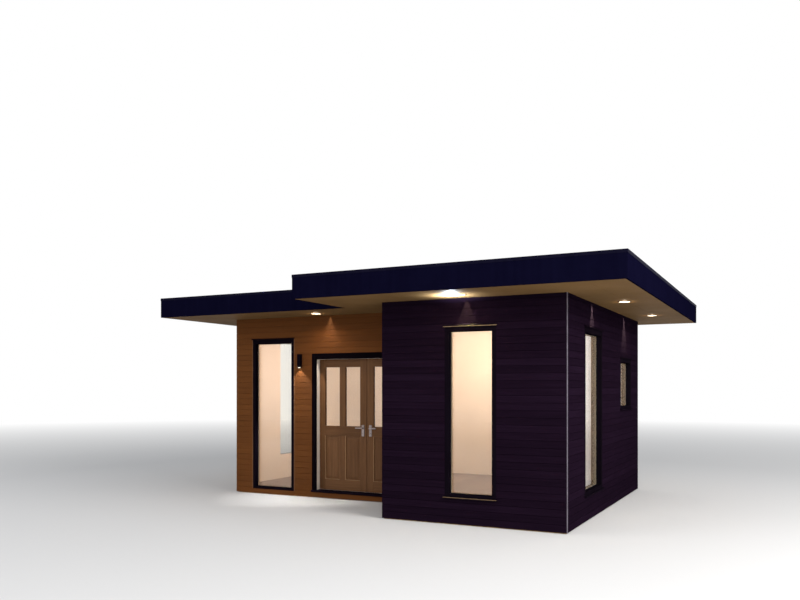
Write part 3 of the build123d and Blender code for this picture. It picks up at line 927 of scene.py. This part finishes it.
def panel_highlight_strips(lit_side):
    """Pale strips down the lit side and along the foot of each lower panel, on the front face:
    painted highlights where the mouldings catch the light.
    """
    y = (highlight_strip_front, highlight_strip_back)
    parts = []
    for column in pane_columns:
        side = column[lit_side]
        other = side - highlight_strip_width if lit_side else side + highlight_strip_width
        parts.append(door_part((min(side, other), max(side, other)), panel_height, y))
        run = (column[0] + highlight_strip_inset, column[1] - highlight_strip_inset)
        parts.append(door_part(run, (panel_bottom, panel_bottom + highlight_strip_height), y,
                               level_grain=1.0))
    return parts


def leaf_panes():
    """The two panes of each of the left leaf's lights."""
    parts = []
    for left, right in pane_columns:
        for y in ((leaf_middle - pane_far, leaf_middle - pane_near),
                  (leaf_middle + pane_near, leaf_middle + pane_far)):
            parts.append(block((left - pane_lap, y[0], lock_rail_top - pane_lap),
                               (right + pane_lap, y[1], pane_top + pane_lap), pane_edge))
    return parts


def mirrored(parts):
    """The same parts for the right leaf."""
    flip = Matrix.Translation((2 * door_centre, 0, 0)) @ Matrix.Diagonal((-1, 1, 1, 1))
    for part in parts:
        bmesh.ops.transform(part, matrix=flip, verts=part.verts)
        bmesh.ops.recalc_face_normals(part, faces=part.faces)
    return parts


def as_built(parts):
    """The parts as they are, for the left leaf."""
    return parts


for side, lit_side, turn in (("left", 0, as_built), ("right", 1, mirrored)):
    finish_piece(side + "_leaf_joinery", turn(leaf_parts()), side + "_door", "door_oak", oak,
                 [side + "_door_leaf"])
    # Pale strips that paint the highlights on each leaf's panel mouldings
    finish_piece(side + "_panel_highlight_strips", turn(panel_highlight_strips(lit_side)), side + "_door", "door_oak",
                 painted_highlight)
    finish_piece(side + "_leaf_panes", turn(leaf_panes()), side + "_door", "window_glass",
                 float_glass, [side + "_door_glass"])


# Screws of the handle plates, and black studs that paint the shade in each keyhole

spindle_setback = 0.059
spindle_x = leaf_meeting_edge - spindle_setback
plate_foot = 0.945
plate_head = 1.115
plate_thickness = 0.008
plate_front = leaf_front - plate_thickness
plate_back = leaf_back + plate_thickness
screw_inset = 0.013
screw_radius = 0.0036
screw_proud = 0.0012
keyhole_level = 0.994
keyhole_radius = 0.0042
keyhole_proud = 0.0006
slot_half_width = 0.0018
slot_foot = keyhole_level - 0.012
slot_head = keyhole_level - 0.002
stud_root = 0.002
stud_edge = 0.0004
slot_edge = 0.0003


def stud(x, z, y, radius):
    """A short round stud from front to back, between two depths."""
    part = new_part()
    lie = Matrix.Translation((x, (y[0] + y[1]) / 2, z)) @ Matrix.Rotation(math.pi / 2, 4, "X")
    bmesh.ops.create_cone(part, cap_ends=True, segments=24, radius1=radius, radius2=radius,
                          depth=y[1] - y[0], matrix=lie)
    rims = [e for e in part.edges if abs(e.verts[0].co.y - e.verts[1].co.y) < 1e-6]
    ease(part, rims, stud_edge)
    mark(part, 0.5)
    return part


def through_plates(proud):
    """Where a stud starts and ends in the front plate and in the back plate."""
    return ((plate_front - proud, plate_front + stud_root),
            (plate_back - stud_root, plate_back + proud))


def plate_screws():
    """A screw near the foot and the head of each plate."""
    return [stud(spindle_x, level, y, screw_radius)
            for level in (plate_foot + screw_inset, plate_head - screw_inset)
            for y in through_plates(screw_proud)]


def keyhole_shades():
    """A black disc and slot on each plate: painted shade where the keyhole's round hole and slot
    would be dark.
    """
    parts = []
    for y in through_plates(keyhole_proud):
        parts.append(stud(spindle_x, keyhole_level, y, keyhole_radius))
        parts.append(block((spindle_x - slot_half_width, y[0], slot_foot),
                           (spindle_x + slot_half_width, y[1], slot_head), slot_edge))
    return parts


for side, turn in (("left", as_built), ("right", mirrored)):
    finish_piece(side + "_plate_screws", turn(plate_screws()), side + "_door", "satin_steel",
                 satin_steel)
    # Black studs that paint the shade inside each keyhole
    finish_piece(side + "_keyhole_shades", turn(keyhole_shades()), side + "_door", "frame_metal",
                 gasket_rubber)


# The frosted cup under the wall light

wall_light_place = (-1.6255, y_entrance - 0.033)
cup_level = 1.982
cup_foot_radius = 0.0165
cup_head_radius = 0.0175
cup_height = 0.022
cup = new_part()
bmesh.ops.create_cone(cup, cap_ends=True, segments=32, radius1=cup_foot_radius,
                      radius2=cup_head_radius, depth=cup_height,
                      matrix=Matrix.Translation((*wall_light_place, cup_level)))
mark(cup, 0.5)
finish_piece("wall_light_cup", [cup], "house", "lamp_lens", opal_lens, ["wall_light_lens"])


# Painted highlights: bright bronze sheets on the front window's head and sill flashings, bright
# strips beside the entrance window

highlight_sheet_edge = 0.0004
# Thin bronze sheets where the head and sill flashings show a lit line: painted highlight
sheet_run = (front_window.left - 0.014, front_window.right + 0.014)
sheets = [
    front_wall.block(sheet_run, (front_window.head - 0.010, front_window.head - 0.0035),
                     (-0.0212, -0.0180), highlight_sheet_edge),
    front_wall.block(sheet_run, (front_window.foot - 0.004, front_window.foot + 0.0012),
                     (-0.0310, 0.0), highlight_sheet_edge),
]
finish_piece("front_window_highlight_sheets", sheets, "house", "bright_metal", sill_highlight_metal)

# Bright strips down both sides of the entrance window: painted highlight along the frame's edges
strip_width = 0.005
strip_depth = (-0.002, 0.006)
strip_edge = 0.0006
strip_height = (entrance_window.foot, entrance_window.head)
strips = [
    entrance_wall.block((left, left + strip_width), strip_height, strip_depth, strip_edge)
    for left in (entrance_window.left - strip_width, entrance_window.right)
]
finish_piece("entrance_window_highlight_strips", strips, "house", "bright_metal", frame_edge_highlight)


# Roof sheets with welded laps

sheet_top = 3.0470
lap_top = 3.0488
lap_spacing = 1.02
lap_half_width = 0.035
lap_inset = 0.06
lap_edge = 0.0012
least_sheet = 0.2


def roof_slab():
    """The flat sheet over the stepped roof."""
    part = new_part()
    corners = [(roof_left, wing_roof_front), (roof_step, wing_roof_front),
               (roof_step, roof_front), (roof_right, roof_front), (roof_right, roof_back),
               (roof_left, roof_back)]
    verts = [part.verts.new((x, y, core_top)) for x, y in corners]
    raise_face(part, verts, UP * (sheet_top - core_top))
    mark(part, 0.5)
    return part


roof_parts = [roof_slab()]
lap = roof_left + lap_spacing
while lap < roof_right - least_sheet:
    front = wing_roof_front if lap < roof_step else roof_front
    roof_parts.append(block((lap - lap_half_width, front + lap_inset, core_top),
                            (lap + lap_half_width, roof_back - lap_inset, lap_top),
                            lap_edge, 1, chance.random()))
    lap += lap_spacing
finish_piece("roof_sheets", roof_parts, "house", "roof_membrane", roof_sheet,
             ["roof_membrane"])


# The camera

# Solved from the photo's edges: place in metres, heading in degrees, lens in millimetres.
# The lens is shifted up instead of tilted, so uprights stay upright in the picture.
camera_place = (5.1373, -10.9595, 1.670)
camera_heading = 26.81
camera_sensor = 36
camera_lens = 35.205
camera_shift = 0.1095


def add_camera():
    data = bpy.data.cameras.new("camera")
    data.sensor_width = camera_sensor
    data.lens = camera_lens
    data.shift_y = camera_shift
    data.clip_end = 300
    camera = bpy.data.objects.new("camera", data)
    camera.location = camera_place
    camera.rotation_euler = (math.radians(90), 0, math.radians(camera_heading))
    bpy.context.scene.collection.objects.link(camera)
    bpy.context.scene.camera = camera


# Lamps

warm = (1.0, 0.80, 0.58)
near_white = (1, 0.97, 0.95)

# Square lamps of the studio: name, place, aim, power, colour and size
studio_lamps = [
    ("key", (14, -5.5, 6.8), (0, 0, 1.2), 2500, (1, 0.98, 0.96), 8),
    ("fill", (-9, -11, 6), (-0.5, 0, 1.2), 420, (0.98, 0.98, 1), 8),
    ("front", (5.5, -14, 4.5), (0, 0, 1.4), 560, (1, 0.99, 0.97), 6),
]

# Lamps in the rooms: name, place, power and colour
room_lamps = [
    ("front_room_lamp", (0.4, 0.85, 2.3), 98, (1, 0.76, 0.59)),
    ("wing_lamp", (-1.5, 0.0, 1.9), 38, (1, 0.74, 0.62)),
    ("side_window_lamp", (2.0, -1.65, 1.9), 8, (1, 0.84, 0.68)),
    ("small_window_lamp", (2.3, 0.85, 1.7), 4, (1, 0.84, 0.68)),
]

wash_gap = 0.012
wash_angle = 48
ring_angle = 172
fade_curve = 1.3

# Where each downlight sits. Then the wash on the wall beside it: place, power, reach and colour
downlights = [
    ((-1.1305, -1.285), (-1.087, y_entrance - wash_gap), 22, 0.62, near_white),
    ((1.6325, -2.500), (1.600, y_front - wash_gap), 66, 0.70, (0.9, 1, 0.4)),
    ((3.2125, -0.870), (x_right + wash_gap, -0.976), 280, 0.44, (0.8, 1, 0.5)),
    ((3.2125, 1.248), (x_right + wash_gap, 1.105), 240, 0.62, (0.8, 1, 0.5)),
    ((-3.2375, 0.6625), (x_left - wash_gap, 0.6625), 30, 0.62, near_white),
    ((1.6325, 2.665), (1.6325, y_back + wash_gap), 66, 0.70, (0.9, 1, 0.4)),
]
entrance_downlight = 0
front_downlight = 1

# The lit ring round a downlight: shift along the house, drop, power, reach and colour
plain_halo = (0.0, 0.05, 0.35, 0.5, warm)
front_halo = (-0.11, 0.1, 6.0, 0.95, (0.7, 0.84, 1))


def add_lamp(name, kind, place, aim, power, colour, **settings):
    """A lamp at a place, turned towards the point that it aims at."""
    data = bpy.data.lights.new(name, kind)
    data.energy = power
    data.color = colour
    for setting, value in settings.items():
        setattr(data, setting, value)
    lamp = bpy.data.objects.new(name, data)
    lamp.location = place
    direction = Vector(aim) - Vector(place)
    lamp.rotation_euler = direction.to_track_quat("-Z", "Y").to_euler()
    bpy.context.scene.collection.objects.link(lamp)
    return lamp


def add_spot(name, place, aim, power, colour, angle, blend, size):
    """A round spot lamp, with its angle in degrees."""
    return add_lamp(name, "SPOT", place, aim, power, colour, spot_size=math.radians(angle),
                    spot_blend=blend, shadow_soft_size=size)


def even_out(lamp, growth, fade_from, fade_to):
    """Lets a lamp fade slowly along the surface that it grazes, and end at a distance."""
    lamp.data.use_nodes = True
    nodes = Nodes(lamp.data.node_tree)
    away = nodes.node("ShaderNodeLightPath", output="Ray Length")
    even = nodes.node("ShaderNodeLightFalloff", None, {"Strength": 100.0}, "Constant")
    left = nodes.level(away, fade_from, fade_to, 1.0, 0.0)
    wash = even * away.math("POWER", growth) * left.math("POWER", fade_curve)
    glow = nodes.node("ShaderNodeEmission", None, {"Strength": wash})
    nodes.node("ShaderNodeOutputLight", None, {0: glow})


def add_studio_lamps():
    """The lamps round the house. None shows through glass, and only the key in reflections."""
    for name, place, aim, power, colour, size in studio_lamps:
        lamp = add_lamp(name, "AREA", place, aim, power, colour, shape="SQUARE", size=size)
        lamp.visible_glossy = name == "key"
        lamp.visible_transmission = False


def add_room_lamps():
    """The lamps of the lit rooms, which light the rooms and don't show."""
    for name, place, power, colour in room_lamps:
        lamp = add_lamp(name, "POINT", place, (*place[:2], 0), power, colour,
                        shadow_soft_size=0.3)
        lamp.visible_camera = False
        lamp.visible_transmission = False
        lamp.visible_glossy = False


def add_downlights():
    """Under each lens: its light, the wash on the wall and the lit ring on the soffit."""
    for number, (lens, wall_point, power, reach, colour) in enumerate(downlights):
        lens_power = 26 if number == entrance_downlight else 16
        add_spot("downlight_%d" % number, (*lens, soffit_level - 0.012), (*lens, 0),
                 lens_power, warm, 150, 0.8, 0.07)
        wash = add_spot("wall_wash_%d" % number, (*wall_point, soffit_level - 0.004),
                        (*wall_point, 0), power, colour, wash_angle, 0.2, 0.001)
        even_out(wash, 0.7, 0.08, reach)
        ring = front_halo if number == front_downlight else plain_halo
        shift, drop, ring_power, ring_reach, ring_colour = ring
        middle = (lens[0] + shift, lens[1])
        halo = add_spot("soffit_halo_%d" % number, (*middle, soffit_level - drop),
                        (*middle, soffit_level), ring_power, ring_colour, ring_angle,
                        0.6, 0.01)
        even_out(halo, -0.7, 0.1, ring_reach)


def add_entrance_lamps():
    """The glow under the wall light, and the wash down the left jamb of the doors."""
    glow = add_spot("wall_light_glow", (*wall_light_place, 1.968), (*wall_light_place, 0), 2.1,
                    near_white, 96, 0.5, 0.005)
    even_out(glow, -0.3, 0.8, 2.4)
    jamb = (-1.334, -0.90)
    wash = add_spot("jamb_wash", (*jamb, 2.08), (*jamb, 0), 5, (1, 0.93, 0.86), 40, 0.6, 0.002)
    even_out(wash, 0.7, 0.1, 1.7)


# The studio's floor and backdrop

def whitened(nodes, strength):
    """How far a surface turns plain white to the camera, in reflections and through glass."""
    seen = nodes.node("ShaderNodeLightPath", output="Is Camera Ray")
    glossy = nodes.node("ShaderNodeLightPath", output="Is Glossy Ray")
    through = nodes.node("ShaderNodeLightPath", output="Is Transmission Ray")
    return seen.math("MAXIMUM", glossy.math("MAXIMUM", through)) * strength


def add_floor():
    """A pale floor that fades to white far from the house."""
    part = bmesh.new()
    bmesh.ops.create_circle(part, cap_ends=True, segments=96, radius=80)
    mesh = bpy.data.meshes.new("studio_floor")
    part.to_mesh(mesh)
    part.free()
    finish = Finish("studio_floor")
    away = finish.node("ShaderNodeVectorMath", {"operation": "LENGTH"},
                       {0: finish.object_place()}, "Value")
    far = finish.level(away, 8.0, 30.0)
    plain = finish.node("ShaderNodeBsdfDiffuse", None, {"Color": grey(214)})
    white = finish.node("ShaderNodeEmission", None, {"Color": (1, 1, 1, 1), "Strength": 1.0})
    fade = whitened(finish, far)
    shader = finish.node("ShaderNodeMixShader", None, {0: fade, 1: plain, 2: white})
    finish.node("ShaderNodeOutputMaterial", None, {0: shader})
    mesh.materials.append(finish.material)
    floor = bpy.data.objects.new("studio_floor", mesh)
    bpy.context.scene.collection.objects.link(floor)


def add_backdrop():
    """A world that lights the house softly, and shows white to the camera."""
    world = bpy.data.worlds.new("studio")
    world.use_nodes = True
    nodes = Nodes(world.node_tree)
    soft = nodes.node("ShaderNodeBackground", None, {0: (0.95, 0.97, 1.0, 1), 1: 0.55})
    white = nodes.node("ShaderNodeBackground", None, {0: (1, 1, 1, 1), 1: 1.0})
    shader = nodes.node("ShaderNodeMixShader", None,
                        {0: whitened(nodes, 1.0), 1: soft, 2: white})
    nodes.node("ShaderNodeOutputWorld", None, {0: shader})
    bpy.context.scene.world = world


add_camera()
add_studio_lamps()
add_room_lamps()
add_downlights()
add_entrance_lamps()
add_floor()
add_backdrop()
bpy.context.scene.view_settings.view_transform = "Standard"
